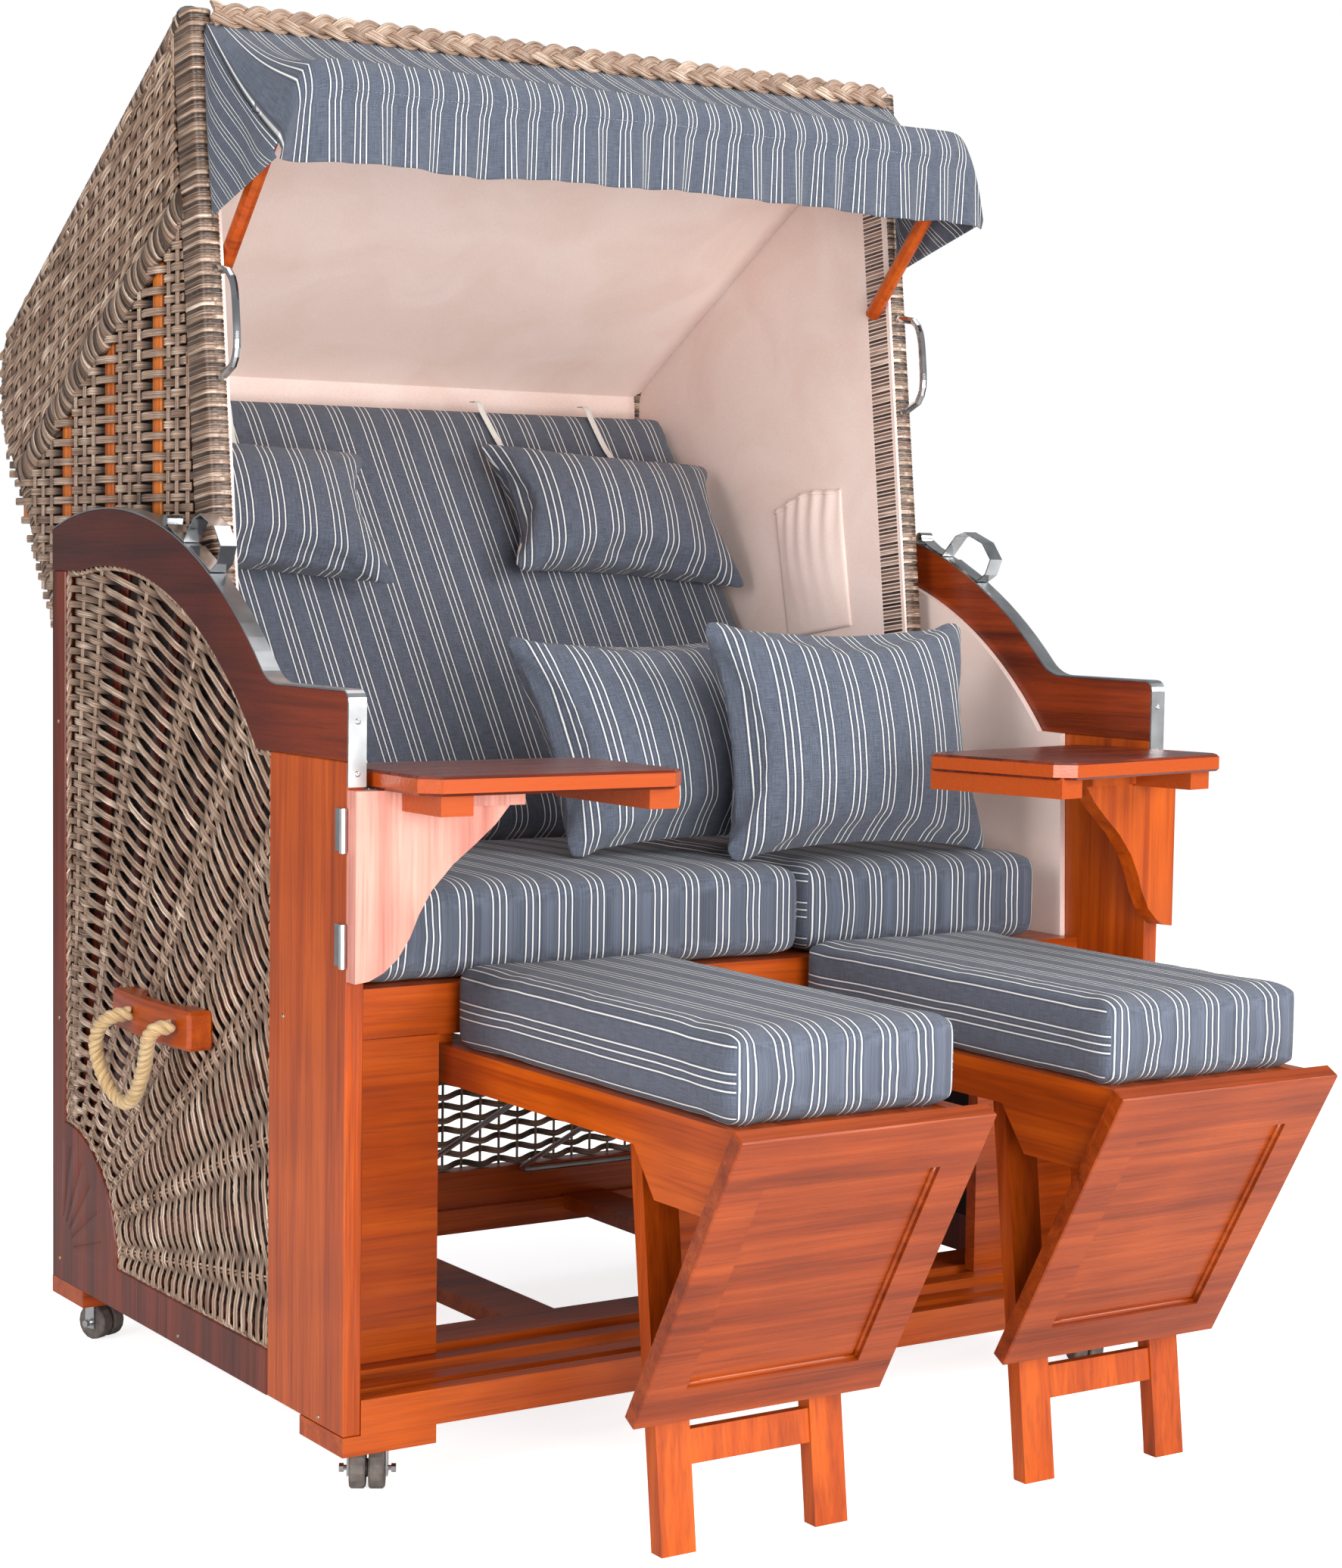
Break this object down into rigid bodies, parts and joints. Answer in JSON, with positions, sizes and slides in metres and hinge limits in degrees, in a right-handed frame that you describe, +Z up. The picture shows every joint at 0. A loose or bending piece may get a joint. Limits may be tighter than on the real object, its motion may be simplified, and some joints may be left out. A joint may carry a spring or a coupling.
{
  "type": "hooded beach chair",
  "caption": "Hooded wicker beach chair: wooden base on castors, tilting woven hood, striped cushions, canopy, swinging side tables and footrests with folding legs.",
  "frame": {"origin": "on the floor, in the middle of the footprint of the whole chair with its footrests out", "axes": "+Z up, +Y towards the back of the chair, +X towards the sitter's left as seen from the front: the viewer's right"},
  "size_m": [1.2904, 1.6432, 1.665],
  "materials": {
    "stained_hardwood": "orange-brown glaze, half gloss",
    "woven_strands": "weathered brown synthetic strand, satin",
    "bright_steel": "stainless, ground",
    "striped_fabric": "grey-blue woven cloth with white stripes",
    "jute_rope": "three-strand natural rope",
    "grey_rubber": "matt grey-brown"
  },
  "bodies": {
    "base": {"front_post_left": "stained_hardwood", "arm_arch_left": "stained_hardwood", "rear_frame_left": "stained_hardwood", "wicker_side_left": "woven_strands", "steel_strip_left": "bright_steel", "carry_grip_left": "stained_hardwood", "grip_rope_left": "jute_rope", "guide_rods_left": "bright_steel", "table_hinge_lower_left": "bright_steel", "table_hinge_upper_left": "bright_steel", "seat_cushion_left": "striped_fabric", "scatter_cushion_left": "striped_fabric", "front_post_right": "stained_hardwood", "arm_arch_right": "stained_hardwood", "rear_frame_right": "stained_hardwood", "wicker_side_right": "woven_strands", "steel_strip_right": "bright_steel", "carry_grip_right": "stained_hardwood", "grip_rope_right": "jute_rope", "guide_rods_right": "bright_steel", "table_hinge_lower_right": "bright_steel", "table_hinge_upper_right": "bright_steel", "seat_cushion_right": "striped_fabric", "scatter_cushion_right": "striped_fabric", "base_chassis": "stained_hardwood", "front_facia": "stained_hardwood", "seat_board": "stained_hardwood", "rear_wicker_panel": "woven_strands"},
    "hood": {"hood_side_left": "woven_strands", "hood_side_right": "woven_strands", "hood_back_roof": "woven_strands", "backrest_cushion": "striped_fabric", "neck_pillow_left": "striped_fabric", "neck_pillow_right": "striped_fabric", "bow_handle_left": "bright_steel", "bow_handle_right": "bright_steel", "canopy_cloth": "striped_fabric"},
    "canopy": {"canopy_frame": "stained_hardwood"},
    "latch_left": {"latch_lever_left": "bright_steel"},
    "table_left": {"table_bracket_left": "stained_hardwood", "table_top_left": "stained_hardwood"},
    "footrest_left": {"footrest_frame_left": "stained_hardwood", "footrest_panel_left": "stained_hardwood", "footrest_cushion_left": "striped_fabric"},
    "legs_left": {"footrest_legs_left": "stained_hardwood"},
    "latch_right": {"latch_lever_right": "bright_steel"},
    "table_right": {"table_bracket_right": "stained_hardwood", "table_top_right": "stained_hardwood"},
    "footrest_right": {"footrest_frame_right": "stained_hardwood", "footrest_panel_right": "stained_hardwood", "footrest_cushion_right": "striped_fabric"},
    "legs_right": {"footrest_legs_right": "stained_hardwood"},
    "castor_front_left": {"castor_fork_front_left": "bright_steel"},
    "wheels_front_left": {"castor_wheels_front_left": "grey_rubber"},
    "castor_front_right": {"castor_fork_front_right": "bright_steel"},
    "wheels_front_right": {"castor_wheels_front_right": "grey_rubber"},
    "castor_rear_left": {"castor_fork_rear_left": "bright_steel"},
    "wheels_rear_left": {"castor_wheels_rear_left": "grey_rubber"},
    "castor_rear_right": {"castor_fork_rear_right": "bright_steel"},
    "wheels_rear_right": {"castor_wheels_rear_right": "grey_rubber"}
  },
  "joints": [
    {"name": "hood_tilt", "type": "hinge", "parent": "base", "child": "hood", "pos_m": [0, 0.31763, 0.43], "axis": [-1, 0, 0], "range_deg": [0, 37]},
    {"name": "canopy_fold", "type": "hinge", "parent": "hood", "child": "canopy", "pos_m": [0, 0.16963, 1.355], "axis": [-1, 0, 0], "range_deg": [0, 30], "deforming": ["canopy_cloth"]},
    {"name": "latch_lift_left", "type": "hinge", "parent": "hood", "child": "latch_left", "pos_m": [-0.549, 0.14063, 1.0535], "axis": [-1, 0, 0], "range_deg": [0, 40]},
    {"name": "table_swing_left", "type": "hinge", "parent": "base", "child": "table_left", "pos_m": [-0.5745, -0.33737, 0.67], "axis": [0, 0, -1], "range_deg": [0, 170]},
    {"name": "footrest_lift_left", "type": "hinge", "parent": "base", "child": "footrest_left", "pos_m": [-0.24, -0.18737, 0.44], "axis": [-1, 0, 0], "range_deg": [0, 4.5]},
    {"name": "leg_fold_left", "type": "hinge", "parent": "footrest_left", "child": "legs_left", "pos_m": [-0.24, -0.57137, 0.442], "axis": [1, 0, 0], "range_deg": [0, 36]},
    {"name": "latch_lift_right", "type": "hinge", "parent": "hood", "child": "latch_right", "pos_m": [0.549, 0.14063, 1.0535], "axis": [-1, 0, 0], "range_deg": [0, 40]},
    {"name": "table_swing_right", "type": "hinge", "parent": "base", "child": "table_right", "pos_m": [0.5745, -0.33737, 0.67], "axis": [0, 0, 1], "range_deg": [-12, 158]},
    {"name": "footrest_lift_right", "type": "hinge", "parent": "base", "child": "footrest_right", "pos_m": [0.24, -0.18737, 0.44], "axis": [-1, 0, 0], "range_deg": [0, 4.5]},
    {"name": "leg_fold_right", "type": "hinge", "parent": "footrest_right", "child": "legs_right", "pos_m": [0.24, -0.57137, 0.442], "axis": [1, 0, 0], "range_deg": [0, 36]},
    {"name": "castor_swivel_front_left", "type": "hinge", "parent": "base", "child": "castor_front_left", "pos_m": [-0.515, -0.28737, 0.0569], "axis": [0, 0, 1], "continuous": true},
    {"name": "wheel_spin_front_left", "type": "hinge", "parent": "castor_front_left", "child": "wheels_front_left", "pos_m": [-0.50985, -0.2788, 0.0225], "axis": [0.8572, -0.515, 0], "continuous": true},
    {"name": "castor_swivel_front_right", "type": "hinge", "parent": "base", "child": "castor_front_right", "pos_m": [0.515, -0.28737, 0.0569], "axis": [0, 0, 1], "continuous": true},
    {"name": "wheel_spin_front_right", "type": "hinge", "parent": "castor_front_right", "child": "wheels_front_right", "pos_m": [0.51842, -0.27797, 0.0225], "axis": [0.9397, -0.342, 0], "continuous": true},
    {"name": "castor_swivel_rear_left", "type": "hinge", "parent": "base", "child": "castor_rear_left", "pos_m": [-0.515, 0.44563, 0.0569], "axis": [0, 0, 1], "continuous": true},
    {"name": "wheel_spin_rear_left", "type": "hinge", "parent": "castor_rear_left", "child": "wheels_rear_left", "pos_m": [-0.51907, 0.45476, 0.0225], "axis": [0.9135, 0.4067, 0], "continuous": true},
    {"name": "castor_swivel_rear_right", "type": "hinge", "parent": "base", "child": "castor_rear_right", "pos_m": [0.515, 0.44563, 0.0569], "axis": [0, 0, 1], "continuous": true},
    {"name": "wheel_spin_rear_right", "type": "hinge", "parent": "castor_rear_right", "child": "wheels_rear_right", "pos_m": [0.51292, 0.45541, 0.0225], "axis": [0.9781, 0.2079, 0], "continuous": true}
  ]
}
